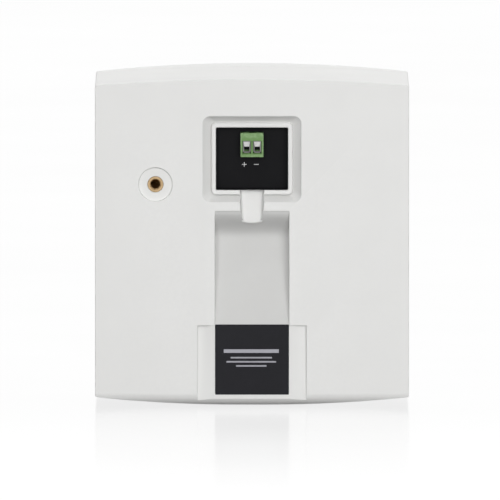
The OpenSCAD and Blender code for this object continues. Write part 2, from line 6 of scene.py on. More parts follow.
import bmesh
import bpy
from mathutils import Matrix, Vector
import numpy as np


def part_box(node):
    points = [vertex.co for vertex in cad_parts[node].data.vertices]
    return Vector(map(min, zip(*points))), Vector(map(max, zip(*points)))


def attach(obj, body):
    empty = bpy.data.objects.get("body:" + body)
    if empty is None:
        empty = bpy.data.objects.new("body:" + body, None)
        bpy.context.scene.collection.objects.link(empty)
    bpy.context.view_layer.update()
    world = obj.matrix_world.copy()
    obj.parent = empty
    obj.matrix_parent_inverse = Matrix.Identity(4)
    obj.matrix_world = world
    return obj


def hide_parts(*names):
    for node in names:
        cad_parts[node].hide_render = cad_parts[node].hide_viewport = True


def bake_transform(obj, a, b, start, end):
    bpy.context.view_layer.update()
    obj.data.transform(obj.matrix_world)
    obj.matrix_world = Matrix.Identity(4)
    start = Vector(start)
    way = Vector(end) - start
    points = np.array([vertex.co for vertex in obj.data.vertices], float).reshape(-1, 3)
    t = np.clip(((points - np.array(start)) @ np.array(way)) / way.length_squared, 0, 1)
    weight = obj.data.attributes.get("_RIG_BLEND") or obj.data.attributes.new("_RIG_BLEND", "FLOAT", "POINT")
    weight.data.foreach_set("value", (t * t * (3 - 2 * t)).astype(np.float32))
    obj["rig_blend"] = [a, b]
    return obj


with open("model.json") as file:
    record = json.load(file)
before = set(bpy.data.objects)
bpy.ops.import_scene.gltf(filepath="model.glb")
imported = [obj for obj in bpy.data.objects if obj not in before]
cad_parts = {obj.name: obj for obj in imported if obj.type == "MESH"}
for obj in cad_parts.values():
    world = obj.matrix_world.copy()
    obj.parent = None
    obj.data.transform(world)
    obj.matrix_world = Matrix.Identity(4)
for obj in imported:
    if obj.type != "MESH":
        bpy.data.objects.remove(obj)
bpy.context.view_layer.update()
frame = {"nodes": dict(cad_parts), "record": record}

# ---- sizes, in millimetres as in part.scad ----

MM = 0.001
cabinet_lo, cabinet_hi = (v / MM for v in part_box("cabinet_walls"))
grille_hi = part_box("grille_frame")[1] / MM
BODY_W = cabinet_hi.x - cabinet_lo.x
BODY_H = cabinet_hi.z - cabinet_lo.z
RIM_Y = cabinet_hi.y
BODY_D = grille_hi.y
SIDE_D = 128.0
TOP_RISE = 4.4
BOTTOM_RISE = 6.2
CORNER_R = 1.5
HEEL_R = 9.3
EDGE_R = 0.6
WALL = 3.5

MOAT_W, MOAT_H, MOAT_D = 70.4, 61.3, 7.0
MOAT_FLOOR = 0.5
COLLAR_W, COLLAR_H, COLLAR_D = 58.8, 52.3, 2.5
WINDOW_W, WINDOW_H, PANEL_D = 52.3, 45.4, 12.0
WELL_Z = 60.8
TROUGH_W, TROUGH_END_W = 18.1, 14.9
TROUGH_D, TROUGH_END_D = 9.5, 5.0
TROUGH_END_Z = 14.2
CHANNEL_W, CHANNEL_TOP, CHANNEL_D, CHANNEL_LIP_D = 54.0, 22.9, 15.0, 1.0
CHANNEL_RAMP = 20.0
DEEPEST_Z = CHANNEL_TOP - CHANNEL_RAMP
POCKET_W, POCKET_TOP, POCKET_D, LAND_D = 78.8, -60.4, 3.6, 1.0
INSERT_X, INSERT_Z = -70.1, 42.3
INSERT_R, RECESS_R, RECESS_D = 5.85, 12.3, 2.2
INSERT_L = 16.0
BORE_R, THREAD_R, THREAD_PITCH = 3.4, 4.0, 1.25
WOOFER_Z, TWEETER_Z = -36.0, 70.0
FACE_Y = 111.0
SHEET_T, SHEET_INSET = 1.0, 3.6
TAB_BACK_Y = 5.5

BOW = BODY_D - SIDE_D
BOW_R = ((BODY_W / 2) ** 2 + BOW ** 2) / (2 * BOW)


def bow_y(x, back=0.0):
    """Y of the bowed front at x."""
    r = BOW_R - back
    return BODY_D - BOW_R + math.sqrt(r * r - x * x)


# ---- mesh helpers ----

def new_object(name, bm, smooth_angle=35.0):
    """Turns a bmesh's normals outwards and makes an object of it."""
    bmesh.ops.recalc_face_normals(bm, faces=bm.faces)
    return scaled_object(name, bm, smooth_angle)


def scaled_object(name, bm, smooth_angle=35.0):
    """Scales a bmesh in millimetres to metres and makes a smooth-shaded object of it."""
    bmesh.ops.scale(bm, vec=(MM, MM, MM), verts=bm.verts)
    mesh = bpy.data.meshes.new(name)
    bm.to_mesh(mesh)
    bm.free()
    for p in mesh.polygons:
        p.use_smooth = True
    mesh.set_sharp_from_angle(angle=math.radians(smooth_angle))
    obj = bpy.data.objects.new(name, mesh)
    bpy.context.scene.collection.objects.link(obj)
    return obj


def weighted_normals(obj):
    """Keeps flat faces flat where they meet a fillet."""
    m = obj.modifiers.new("weighted_normals", "WEIGHTED_NORMAL")
    m.keep_sharp = True


def loft(bm, loops, cap_start=True, cap_end=True, ring=False):
    """Skins closed loops of equal length. ring joins the last loop to the first."""
    rows = [[bm.verts.new(p) for p in points] for points in loops]
    pairs = list(zip(rows, rows[1:]))
    if ring:
        pairs.append((rows[-1], rows[0]))
    n = len(rows[0])
    for a, b in pairs:
        for i in range(n):
            j = (i + 1) % n
            bm.faces.new((a[i], a[j], b[j], b[i]))
    if not ring and cap_start:
        bm.faces.new(rows[0])
    if not ring and cap_end:
        bm.faces.new(list(reversed(rows[-1])))
    return rows


def arc(cx, cz, r, a0, a1, n):
    """Points with normals along an arc, angles in degrees."""
    out = []
    for i in range(n + 1):
        a = math.radians(a0 + (a1 - a0) * i / n)
        out.append((cx + r * math.cos(a), cz + r * math.sin(a), math.cos(a), math.sin(a)))
    return out


def arches():
    """Radius and centre height of the top and of the bottom."""
    half = BODY_W / 2
    top_r = (half ** 2 + TOP_RISE ** 2) / (2 * TOP_RISE)
    bottom_r = (half ** 2 + BOTTOM_RISE ** 2) / (2 * BOTTOM_RISE)
    return top_r, BODY_H / 2 - top_r, bottom_r, bottom_r - BODY_H / 2


def body_outline(corner_n=9, arch_n=56):
    """The cabinet's outline seen from behind, as (x, z, normal x, normal z)."""
    half = BODY_W / 2
    top_r, ct, bottom_r, cb = arches()
    w = half - CORNER_R
    zt = ct + math.sqrt((top_r - CORNER_R) ** 2 - w ** 2)
    zb = cb - math.sqrt((bottom_r - CORNER_R) ** 2 - w ** 2)
    at = math.degrees(math.atan2(zt - ct, w))
    ab = math.degrees(math.atan2(cb - zb, w))
    points = arc(w, zt, CORNER_R, 0, at, corner_n)
    points += arc(0, ct, top_r, at, 180 - at, arch_n)[1:]
    points += arc(-w, zt, CORNER_R, 180 - at, 180, corner_n)[1:]
    points += [(-half, zt + (zb - zt) * i / 8, -1, 0) for i in range(1, 8)]
    points += arc(-w, zb, CORNER_R, 180, 180 + ab, corner_n)
    points += arc(0, cb, bottom_r, 180 + ab, 360 - ab, arch_n)[1:]
    points += arc(w, zb, CORNER_R, 360 - ab, 360, corner_n)[1:]
    points += [(half, zb + (zt - zb) * i / 8, 1, 0) for i in range(1, 8)]
    return points


OUTLINE = body_outline()


def outline_loop(inset, y):
    """A loop along the body's outline. inset and y are numbers or functions of a point."""
    loop = []
    for p in OUTLINE:
        i = inset(p) if callable(inset) else inset
        loop.append(Vector((p[0] - p[2] * i, y(p) if callable(y) else y, p[1] - p[3] * i)))
    return loop


def inner_loop(inset, y, n=40):
    """The outline moved in by more than its corner radius, so that the corners are sharp."""
    top_r, ct, bottom_r, cb = arches()
    w = BODY_W / 2 - inset
    xs = [w - 2 * w * i / n for i in range(n + 1)]
    top = [Vector((x, y, ct + math.sqrt((top_r - inset) ** 2 - x * x))) for x in xs]
    bottom = [Vector((-x, y, cb - math.sqrt((bottom_r - inset) ** 2 - x * x))) for x in xs]
    return top + bottom


def rounded_rect(w, h, r, n=8, cz=0.0):
    """A rounded rectangle as (x, z, normal x, normal z)."""
    x, z = w / 2 - r, h / 2 - r
    return (arc(x, cz + z, r, 0, 90, n) + arc(-x, cz + z, r, 90, 180, n)
            + arc(-x, cz - z, r, 180, 270, n) + arc(x, cz - z, r, 270, 360, n))


def at_depth(points, grow, y):
    """A loop of an outline grown along its normals, at depth y."""
    return [Vector((p[0] + p[2] * grow, y, p[1] + p[3] * grow)) for p in points]


def flare(points, r, n=4, start=14):
    """Loops that widen a cutter towards the face it cuts, so that its rim comes out round."""
    loops = [at_depth(points, r * 1.4, -2.0)]
    for i in range(n + 1):
        a = math.radians(start + (90 - start) * i / n)
        loops.append(at_depth(points, r * (1 - math.sin(a)), r * (1 - math.cos(a)) - 0.02))
    return loops


def lathe(bm, profile, x, z, n=64, closed=False):
    """Turns (radius, y) points about an axis along Y through x, z."""
    loops = []
    for k in range(n):
        a = 2 * math.pi * k / n
        loops.append([Vector((x + r * math.cos(a), y, z + r * math.sin(a))) for r, y in profile])
    rows = [[bm.verts.new(p) for p in points] for points in loops]
    m = len(profile)
    for k in range(n):
        a, b = rows[k], rows[(k + 1) % n]
        for i in range(m if closed else m - 1):
            j = (i + 1) % m
            bm.faces.new((a[i], a[j], b[j], b[i]))
    bmesh.ops.remove_doubles(bm, verts=bm.verts, dist=1e-5)


def box_mesh(bm, lo, hi):
    loops = [[Vector((x, y, z)) for x, z in
              ((lo[0], lo[2]), (hi[0], lo[2]), (hi[0], hi[2]), (lo[0], hi[2]))]
             for y in (lo[1], hi[1])]
    loft(bm, loops)


def raw_object(name, bm):
    """A helper object in millimetres, for booleans."""
    bmesh.ops.recalc_face_normals(bm, faces=bm.faces)
    mesh = bpy.data.meshes.new(name)
    bm.to_mesh(mesh)
    bm.free()
    obj = bpy.data.objects.new(name, mesh)
    bpy.context.scene.collection.objects.link(obj)
    return obj


def cut(obj, cutter, operation="DIFFERENCE"):
    """Applies a boolean to obj and removes the cutter."""
    m = obj.modifiers.new("cut", "BOOLEAN")
    m.operation, m.solver, m.object = operation, "EXACT", cutter
    dg = bpy.context.evaluated_depsgraph_get()
    mesh = bpy.data.meshes.new_from_object(obj.evaluated_get(dg))
    obj.modifiers.clear()
    old, obj.data = obj.data, mesh
    bpy.data.meshes.remove(old)
    bpy.data.objects.remove(cutter)


# ---- the rear cabinet ----

def outer_body():
    """The solid outside form, with a small round on its rear edge and the heel cut away."""
    bm = bmesh.new()
    steps = 4
    loops = []
    for i in range(steps + 1):
        a = math.pi / 2 * i / steps
        loops.append(outline_loop(EDGE_R * (1 - math.sin(a)), EDGE_R * (1 - math.cos(a))))
    loops += [outline_loop(0, y) for y in (30, 60, 90, RIM_Y - 0.5)]
    loops += [outline_loop(0.15, RIM_Y - 0.15), outline_loop(0.5, RIM_Y)]
    loft(bm, loops)
    body = raw_object("cabinet_shell", bm)
    cut(body, heel_cutter())
    return body


def heel_cutter():
    """Takes off the lower rear edge outside a straight round."""
    low, steps = -BODY_H / 2, 14
    section = [(-1.0, low + HEEL_R), (-1.0, low - 1), (HEEL_R, low - 1)]
    for i in range(steps + 1):
        a = math.pi / 2 * i / steps
        section.append((HEEL_R * (1 - math.sin(a)), low + HEEL_R * (1 - math.cos(a))))
    bm = bmesh.new()
    loft(bm, [[Vector((x, y, z)) for y, z in section] for x in (-BODY_W, BODY_W)])
    return raw_object("heel_cutter", bm)


def cavity():
    """The room inside, with the walls behind the recesses left standing in it."""
    bm = bmesh.new()
    loft(bm, [inner_loop(WALL, WALL), inner_loop(WALL, RIM_Y + 2)])
    room = raw_object("room", bm)
    backs = (
        ((-MOAT_W / 2 - WALL, 1, WELL_Z - MOAT_H / 2 - WALL),
         (MOAT_W / 2 + WALL, PANEL_D, WELL_Z + MOAT_H / 2 + WALL)),
        ((-CHANNEL_W / 2 - WALL, 1, POCKET_TOP - 8),
         (CHANNEL_W / 2 + WALL, CHANNEL_D + WALL, WELL_Z - MOAT_H / 2)),
        ((-POCKET_W / 2 - WALL, 1, -BODY_H / 2 + 2),
         (POCKET_W / 2 + WALL, POCKET_D + WALL, POCKET_TOP + WALL)),
    )
    for lo, hi in backs:
        bm = bmesh.new()
        box_mesh(bm, lo, hi)
        cut(room, raw_object("back", bm))
    bm = bmesh.new()
    lathe(bm, [(0, 1), (11, 1), (11, 22), (0, 22)], INSERT_X, INSERT_Z, 40)
    cut(room, raw_object("boss", bm))
    return room


def well_cutter():
    """Moat, collar and window in one: its inner side rises again round the window."""
    moat = rounded_rect(MOAT_W, MOAT_H, 5.0, cz=WELL_Z)
    floor = rounded_rect(COLLAR_W + 2 * MOAT_FLOOR, COLLAR_H + 2 * MOAT_FLOOR, 3.4, cz=WELL_Z)
    collar = rounded_rect(COLLAR_W, COLLAR_H, 3.0, cz=WELL_Z)
    window = rounded_rect(WINDOW_W, WINDOW_H, 1.0, cz=WELL_Z)
    bm = bmesh.new()
    loops = flare(moat, 1.2)
    loops += [at_depth(floor, 0.4, MOAT_D - 0.7), at_depth(floor, 0.1, MOAT_D - 0.2),
              at_depth(floor, -0.15, MOAT_D), at_depth(collar, 0.15, MOAT_D),
              at_depth(collar, 0.0, MOAT_D - 0.3), at_depth(collar, 0.0, COLLAR_D + 0.9)]
    for a in (30, 60, 90):
        s, c = math.sin(math.radians(a)), math.cos(math.radians(a))
        loops.append(at_depth(collar, 0.9 * (c - 1), COLLAR_D + 0.9 * (1 - s)))
    loops += [at_depth(window, 0.9, COLLAR_D), at_depth(window, 0.25, COLLAR_D + 0.25),
              at_depth(window, 0.0, COLLAR_D + 0.9), at_depth(window, 0.0, PANEL_D + 2)]
    loft(bm, loops)
    return raw_object("well_cutter", bm)


def ease(t):
    c = max(0.0, min(1.0, t))
    return c * c * (3 - 2 * c)


def channel_depth(z):
    """Depth of the channel's floor, as in part.scad."""
    rise = min(1, max(0, (DEEPEST_Z - z) / (DEEPEST_Z - POCKET_TOP)))
    return (CHANNEL_LIP_D + (CHANNEL_D - CHANNEL_LIP_D) * ease((CHANNEL_TOP - z) / CHANNEL_RAMP)
            - (CHANNEL_D - LAND_D) * rise ** 1.5)


def channel_cutter():
    steps = 72
    low = -BODY_H / 2 - 3
    profile = [(-3.0, CHANNEL_TOP)]
    for i in range(steps + 1):
        z = CHANNEL_TOP + (POCKET_TOP - CHANNEL_TOP) * i / steps
        profile.append((channel_depth(z), z))
    profile += [(LAND_D, low), (-3.0, low)]
    bm = bmesh.new()
    loft(bm, [[Vector((x, y, z)) for y, z in profile] for x in (-CHANNEL_W / 2, CHANNEL_W / 2)])
    channel = raw_object("channel_cutter", bm)
    cut(channel, tongue())
    return channel


def tongue():
    """The trough's floor, carried on into the channel, with a round end."""
    w = TROUGH_END_W / 2 - 0.1
    top, r = TROUGH_END_D - 1.0, 1.6
    bm = bmesh.new()
    steps = 5
    profile = [(top, CHANNEL_TOP + 1)]
    for i in range(steps + 1):
        a = math.pi / 2 * i / steps
        profile.append((top + 1 + r * (1 - math.cos(a)), TROUGH_END_Z + r * (1 - math.sin(a))))
    profile += [(CHANNEL_D + 1, TROUGH_END_Z), (CHANNEL_D + 1, CHANNEL_TOP + 1)]
    rows = []
    for i in range(13):
        x = -w + 2 * w * i / 12
        bulge = 0.9 * (1 - (x / w) ** 2)
        rows.append([Vector((x, y, z - (bulge if z < CHANNEL_TOP else 0))) for y, z in profile])
    loft(bm, rows)
    return raw_object("tongue", bm)


def pocket_cutter(side):
    """The shallow pocket beside the label, deepest next to the channel."""
    inner, outer = CHANNEL_W / 2 - 1, POCKET_W / 2
    low, high = -BODY_H / 2 - 3, POCKET_TOP
    bm = bmesh.new()
    rows = []
    steps = 10
    for k in range(9):
        t = k / 8
        z = high + (low - high) * t
        deepest = POCKET_D * (1 - t) + (LAND_D + 0.3) * t
        row = [Vector((side * inner, -3, z)), Vector((side * (outer + 0.5), -3, z)),
               Vector((side * (outer + 0.5), 0, z)), Vector((side * outer, 0.5, z))]
        for i in range(steps + 1):
            u = i / steps
            x = outer + (inner - outer) * u
            y = LAND_D - 0.1 + (deepest - LAND_D + 0.1) * math.cos(math.pi / 2 * u) ** 1.3
            row.append(Vector((side * x, y, z)))
        rows.append(row)
    loft(bm, rows)
    return raw_object("pocket_cutter", bm)


def trough_cutter():
    """A flat-floored trough with round lower corners and soft rims."""
    bm = bmesh.new()
    loops = []
    sections = 9
    z0, z1 = WELL_Z - WINDOW_H / 2 + 0.6, TROUGH_END_Z - 3
    for k in range(sections + 1):
        t = k / sections
        z = z0 + (z1 - z0) * t
        w = (TROUGH_W + (TROUGH_END_W - TROUGH_W) * min(1, t * 1.1)) / 2
        d = TROUGH_D + (TROUGH_END_D - TROUGH_D) * ease(t * 1.15)
        r = 2.6
        half = [(w + 1.2, -2.0), (w + 0.5, 0.1), (w + 0.15, 0.5), (w, 1.2), (w - 0.25, d - r)]
        for a in (30, 60, 90):
            s, c = math.sin(math.radians(a)), math.cos(math.radians(a))
            half.append((w - 0.25 - r * (1 - c), d - r * (1 - s)))
        half.append(((w - r) * 0.5, d + 0.12))
        ring = [Vector((x, y, z)) for x, y in half]
        ring += [Vector((-x, y, z)) for x, y in reversed(half)]
        loops.append(ring)
    loft(bm, loops)
    return raw_object("trough_cutter", bm)


def insert_cutter():
    """The round recess and the hole that holds the brass insert."""
    r = INSERT_R + 0.05
    bm = bmesh.new()
    lathe(bm, [(0, -2), (RECESS_R + 0.7, -2), (RECESS_R + 0.5, -0.02), (RECESS_R + 0.15, 0.15),
               (RECESS_R, 0.5), (RECESS_R, RECESS_D - 0.5), (RECESS_R - 0.15, RECESS_D - 0.15),
               (RECESS_R - 0.5, RECESS_D), (r, RECESS_D), (r, RECESS_D + INSERT_L),
               (0, RECESS_D + INSERT_L)], INSERT_X, INSERT_Z, 96)
    return raw_object("insert_cutter", bm)


def rim_cutter(w, top, low, r):
    """Softens the upper and side rims of a rectangular recess that runs out underneath."""
    bm = bmesh.new()
    points = rounded_rect(w, top - low, 0.6, 3, (top + low) / 2)
    loops = flare(points, r)
    loops.append(at_depth(points, -0.3, r + 0.2))
    loft(bm, loops)
    return raw_object("rim_cutter", bm)


def cabinet_shell():
    """The whole cabinet moulding: the outside form less its cavity and its recesses."""
    shell = outer_body()
    for cutter in (cavity(), well_cutter(), channel_cutter(), trough_cutter(), pocket_cutter(-1),
                   pocket_cutter(1), insert_cutter(),
                   rim_cutter(CHANNEL_W, CHANNEL_TOP, POCKET_TOP - 2, 0.5)):
        cut(shell, cutter)
    bm = bmesh.new()
    bm.from_mesh(shell.data)
    bpy.data.objects.remove(shell)
    bmesh.ops.remove_doubles(bm, verts=bm.verts, dist=0.01)
    bmesh.ops.dissolve_degenerate(bm, edges=bm.edges, dist=0.005)
    shell = new_object("cabinet_shell", bm, 28)
    weighted_normals(shell)
    return shell


def texture_and_shade_channel(shell, material):
    """Gives the channel's own faces the coarser moulded texture and a darker tone, which is painted shade in
    the deep channel.
    """
    shell.data.materials.append(material)
    for face in shell.data.polygons:
        c = face.center / MM
        in_channel = abs(c.x) < CHANNEL_W / 2 + 0.1 and POCKET_TOP < c.z < CHANNEL_TOP - 0.2
        on_tongue = abs(c.x) < TROUGH_W / 2 and c.z > TROUGH_END_Z - 1 and c.y < CHANNEL_D / 2
        if in_channel and not on_tongue and c.y > 0.9:
            face.material_index = 1


# ---- the other pieces ----

def hex_cell(bm, cx, cz, pitch, hole_r):
    """One hexagon of sheet with a round hole, whose edge joins its neighbours'."""
    rim, hole = [], []
    for k in range(12):
        a = math.radians(30 * k)
        r = pitch / 2 if k % 2 == 0 else pitch / math.sqrt(3)
        rim.append(bm.verts.new((cx + r * math.cos(a), 0, cz + r * math.sin(a))))
        hole.append(bm.verts.new((cx + hole_r * math.cos(a), 0, cz + hole_r * math.sin(a))))
    for k in range(12):
        j = (k + 1) % 12
        bm.faces.new((rim[k], hole[k], hole[j], rim[j]))


def inside(x, z, inset):
    """Whether a point lies inside the body's outline by that much."""
    half = BODY_W / 2
    if abs(x) > half - inset:
        return False
    top = BODY_H / 2 - TOP_RISE * (x / half) ** 2
    bottom = -BODY_H / 2 + BOTTOM_RISE * (x / half) ** 2
    if not bottom + inset < z < top - inset:
        return False
    corner = max(0.0, abs(x) - half + CORNER_R)
    return math.hypot(corner, max(0.0, z - top + CORNER_R, bottom + CORNER_R - z)) < CORNER_R


def fill_border(bm, pitch, hole_r, step):
    """Joins the field of holes to the sheet's outline, with every face looking forwards."""
    rim = [e for e in bm.edges if e.is_boundary and not hole_edge(e, pitch, hole_r, step)]
    outline = [bm.verts.new((p.x, 0, p.z)) for p in inner_loop(SHEET_INSET, 0)]
    outer = [bm.edges.new((a, b)) for a, b in zip(outline, outline[1:] + outline[:1])]
    bmesh.ops.triangle_fill(bm, use_beauty=True, edges=rim + outer)
    for f in bm.faces:
        f.normal_update()
        if f.normal.y < 0:
            f.normal_flip()


def perforated_sheet():
    """The bowed grille: staggered round holes as far as a plain border."""
    pitch, hole_r, border = 5.0, 1.7, 4.2
    rows, columns = 28, 24
    bm = bmesh.new()
    step = pitch * math.sqrt(3) / 2
    for j in range(-rows, rows + 1):
        for i in range(-columns, columns + 1):
            cx, cz = (i + 0.5 * (j % 2)) * pitch, j * step
            if inside(cx, cz, SHEET_INSET + border):
                hex_cell(bm, cx, cz, pitch, hole_r)
    bmesh.ops.remove_doubles(bm, verts=bm.verts, dist=0.01)
    fill_border(bm, pitch, hole_r, step)
    for v in bm.verts:
        v.co.y = bow_y(v.co.x, 0.25)
    sheet = scaled_object("perforated_sheet", bm)
    m = sheet.modifiers.new("thickness", "SOLIDIFY")
    m.thickness, m.offset = (SHEET_T - 0.1) * MM, -1
    return sheet


def hole_edge(e, pitch, hole_r, step):
    """Whether an open edge runs round a hole."""
    mid = (e.verts[0].co + e.verts[1].co) / 2
    j = round(mid.z / step)
    i = round(mid.x / pitch - 0.5 * (j % 2))
    return math.hypot(mid.x - (i + 0.5 * (j % 2)) * pitch, mid.z - j * step) < hole_r


def insert_profile(angle):
    """Brass insert: chamfered mouth, helical thread down the bore and a knurled outside."""
    y0, y1 = RECESS_D + 0.1, RECESS_D + INSERT_L
    points = []
    steps = 84
    for i in range(steps + 1):
        y = y0 + 0.2 + (y1 - y0 - 2.7) * i / steps
        turn = (y / THREAD_PITCH - angle / (2 * math.pi)) % 1
        groove = min(0.75, 1 - abs(2 * turn - 1)) / 0.75 * (THREAD_R - BORE_R)
        mouth = max(0.0, 0.9 - (y - y0))
        points.append((BORE_R + max(groove, mouth), y))
    knurl = 0.18 * abs(math.sin(angle * 16))
    outer = INSERT_R - 0.05
    points += [(0.01, y1 - 0.3), (0.01, y1), (outer - 0.6, y1), (outer - 0.2 - knurl, y1 - 0.5),
               (outer - 0.2 - knurl, y0 + 2.4), (outer, y0 + 2.0), (outer, y0 + 0.25),
               (outer - 0.25, y0), (4.45, y0)]
    return points


def lathe_by_angle(name, profile, x, z, n):
    """A closed turned form whose section varies with the angle."""
    bm = bmesh.new()
    loops = []
    for k in range(n):
        a = 2 * math.pi * k / n
        loops.append([Vector((x + r * math.cos(a), y, z + r * math.sin(a)))
                      for r, y in profile(a)])
    loft(bm, loops, ring=True)
    return new_object(name, bm)


def turned_piece(name, profile, x, z, n=96, smooth=40):
    """A closed turned form of one section."""
    bm = bmesh.new()
    lathe(bm, profile, x, z, n, closed=True)
    return new_object(name, bm, smooth)


def half_roll(cy, r, lift, start, stop, n):
    """Points over a half roll in radius and depth, centred at radius cy, lifted to y."""
    points = []
    for i in range(n + 1):
        a = math.radians(start + (stop - start) * i / n)
        points.append((cy + r * math.cos(a), lift + r * math.sin(a)))
    return points


def woofer_surround():
    """Rubber half roll with its cone land and outer land."""
    y = FACE_Y
    over = [(46.0, y - 0.55), (46.1, y + 0.15), (47.6, y + 0.2)]
    over += half_roll(52, 4.15, y, 180, 0, 30)[1:]
    over += [(56.7, y + 0.35), (57.0, y + 0.75), (59.8, y + 0.78), (59.95, y + 0.1)]
    under = half_roll(52, 3.45, y, 0, 180, 30)
    return turned_piece("surround_roll", over + under + [(48.2, y - 0.6)], 0, WOOFER_Z, 144)


def woofer_spider():
    """Corrugated cloth disc."""
    pleats, r0, r1, y = 4, 13.15, 33.5, 83.7
    top = [(r0, y + 0.25)]
    steps = pleats * 14
    for i in range(steps + 1):
        t = i / steps
        top.append((r0 + 0.9 + (r1 - r0 - 0.9) * t,
                    y + 0.25 + 1.15 * math.sin(2 * math.pi * pleats * t)))
    top += [(34.5, y - 0.7), (38.3, y - 0.7)]
    under = [(r, h - 0.5) for r, h in reversed(top)]
    return turned_piece("spider_disc", top + under, 0, WOOFER_Z, 120)


def tweeter_surround():
    """Silk half roll between the dome and the faceplate."""
    y = 110.2
    over = [(12.78, y - 0.35), (12.8, y + 0.1)] + half_roll(14.3, 1.1, y, 175, 0, 14)
    over += [(16.85, y - 0.05), (16.85, y - 1.05), (15.65, y - 1.05)]
    under = half_roll(14.3, 0.78, y - 0.3, 0, 180, 14)
    return turned_piece("tweeter_roll", over + under, 0, TWEETER_Z, 72)


def braid(name, points, r):
    """A lead of two strands twisted together along a smooth curve."""
    bm = bmesh.new()
    path = smooth_path(points, 40)
    for phase in (0, math.pi):
        centres = []
        for i, p in enumerate(path):
            a = phase + i * 0.75
            centres.append(p + Vector((0, math.cos(a), math.sin(a))) * r * 0.45)
        loops = []
        for i, c in enumerate(centres):
            d = (centres[min(i + 1, len(centres) - 1)] - centres[max(i - 1, 0)]).normalized()
            side = d.cross(Vector((0, 0, 1))).normalized()
            up = side.cross(d)
            loops.append([c + (side * math.cos(t) + up * math.sin(t)) * r * 0.5
                          for t in (2 * math.pi * k / 8 for k in range(8))])
        loft(bm, loops)
    return new_object(name, bm, 60)


def smooth_path(points, steps):
    """A Catmull-Rom curve through the points."""
    p = [Vector(q) for q in points]
    p = [p[0] * 2 - p[1]] + p + [p[-1] * 2 - p[-2]]
    out = []
    spans = len(p) - 3
    for i in range(steps + 1):
        u = spans * i / steps
        k = min(int(u), spans - 1)
        t = u - k
        a, b, c, d = p[k:k + 4]
        out.append(0.5 * (2 * b + (c - a) * t + (2 * a - 5 * b + 4 * c - d) * t * t
                          + (3 * b - a - 3 * c + d) * t ** 3))
    return out


def radial_blend(obj, moving, z, r_fixed, r_moving):
    """Lets a turned piece bend between the cabinet outside r_fixed and the cone inside r_moving."""
    centre = Vector((0, 0, z)) * MM
    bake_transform(obj, "cabinet", moving, start=centre + Vector((r_fixed * MM, 0, 0)), end=centre)
    weight = obj.data.attributes["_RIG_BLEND"].data
    for v, w in zip(obj.data.vertices, weight):
        r = math.hypot(v.co.x - centre.x, v.co.z - centre.z) / MM
        w.value = ease((r_fixed - r) / (r_fixed - r_moving))


def damping_pad():
    """A slab of wadding, crowned, pulled in at its corners and a little lumpy."""
    lo, hi = (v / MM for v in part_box("damping_pad"))
    mid, half = (lo + hi) / 2, (hi - lo) / 2
    rnd = random.Random(7)
    waves = [(rnd.uniform(0.03, 0.09), rnd.uniform(0.05, 0.16), rnd.uniform(0, 6.3),
              rnd.uniform(0.25, 0.6)) for _ in range(7)]
    bm = bmesh.new()
    loops = []
    spans, around = 84, 64
    for i in range(spans + 1):
        t = -1 + 2 * i / spans
        end = max(0.0, 1 - abs(t) ** 9) ** (1 / 3.2)
        plump = 0.82 + 0.12 * math.cos(t * math.pi / 2)
        loop = []
        for k in range(around):
            a = 2 * math.pi * k / around
            c, s = math.cos(a), math.sin(a)
            y = math.copysign(abs(c) ** 0.5, c) * half.y * 0.96 * max(0.05, end ** 0.4)
            z = math.copysign(abs(s) ** 0.45, s) * half.z * plump * max(0.05, end)
            x = t * half.x * 0.97
            lump = sum(h * math.sin(fx * x + fy * y + ph) for fx, fy, ph, h in waves)
            loop.append(Vector((mid.x + x, mid.y + y, mid.z - 0.4 + z + lump * 0.35 * end)))
        loops.append(loop)
    loft(bm, loops)
    return new_object("wadding_pad", bm, 80)


def label_print():
    """Plain bars on the label, in place of printed words."""
    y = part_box("rating_label")[0].y / MM
    bm = bmesh.new()
    for z, w, h in ((-79.2, 40, 2.6), (-84.0, 30, 1.1), (-87.0, 36, 1.1), (-90.0, 22, 1.1)):
        box_mesh(bm, (-w / 2 - 0.5, y - 0.03, z - h / 2), (w / 2 - 0.5, y + 0.05, z + h / 2))
    return new_object("label_print", bm)


def window_liner():
    """The terminal panel's black rim, which lines the window behind the collar."""
    window = rounded_rect(WINDOW_W, WINDOW_H, 1.0, cz=WELL_Z)
    start = COLLAR_D + 1.3
    bm = bmesh.new()
    loops = [at_depth(window, g, y) for g, y in
             ((-0.02, start), (-0.02, PANEL_D + 0.05), (-0.5, PANEL_D + 0.05), (-0.35, start + 0.3),
              (-0.25, start))]
    loft(bm, loops, ring=True)
    return new_object("window_liner", bm)


def polarity_marks():
    """Plus and minus printed under the plug."""
    y, z = PANEL_D, 56.0
    bm = bmesh.new()
    arm, bar = 1.7, 0.22
    plus, minus = -5.6, 3.1
    for x in (plus, minus):
        box_mesh(bm, (x - arm, y - 0.04, z - bar), (x + arm, y + 0.05, z + bar))
    for s in (-1, 1):
        z0, z1 = sorted((z + s * bar, z + s * arm))
        box_mesh(bm, (plus - bar, y - 0.04, z0), (plus + bar, y + 0.05, z1))
    return new_object("polarity_marks", bm)


# ---- materials ----

def node(tree, kind, **settings):
    """Adds a shader node; settings are its properties or its inputs' values."""
    n = tree.nodes.new(kind)
    for key, value in settings.items():
        if hasattr(n, key):
            setattr(n, key, value)
        else:
            n.inputs[key].default_value = value
    return n


def new_material(name):
    m = bpy.data.materials.new(name)
    m.use_nodes = True
    return m, m.node_tree, m.node_tree.nodes["Principled BSDF"]


def noise(tree, size, detail=3.0, rough=0.55):
    """Noise whose features are about size millimetres across."""
    coords = node(tree, "ShaderNodeTexCoord")
    n = node(tree, "ShaderNodeTexNoise", Scale=1 / (size * MM), Detail=detail, Roughness=rough)
    tree.links.new(coords.outputs["Object"], n.inputs["Vector"])
    return n.outputs["Fac"]


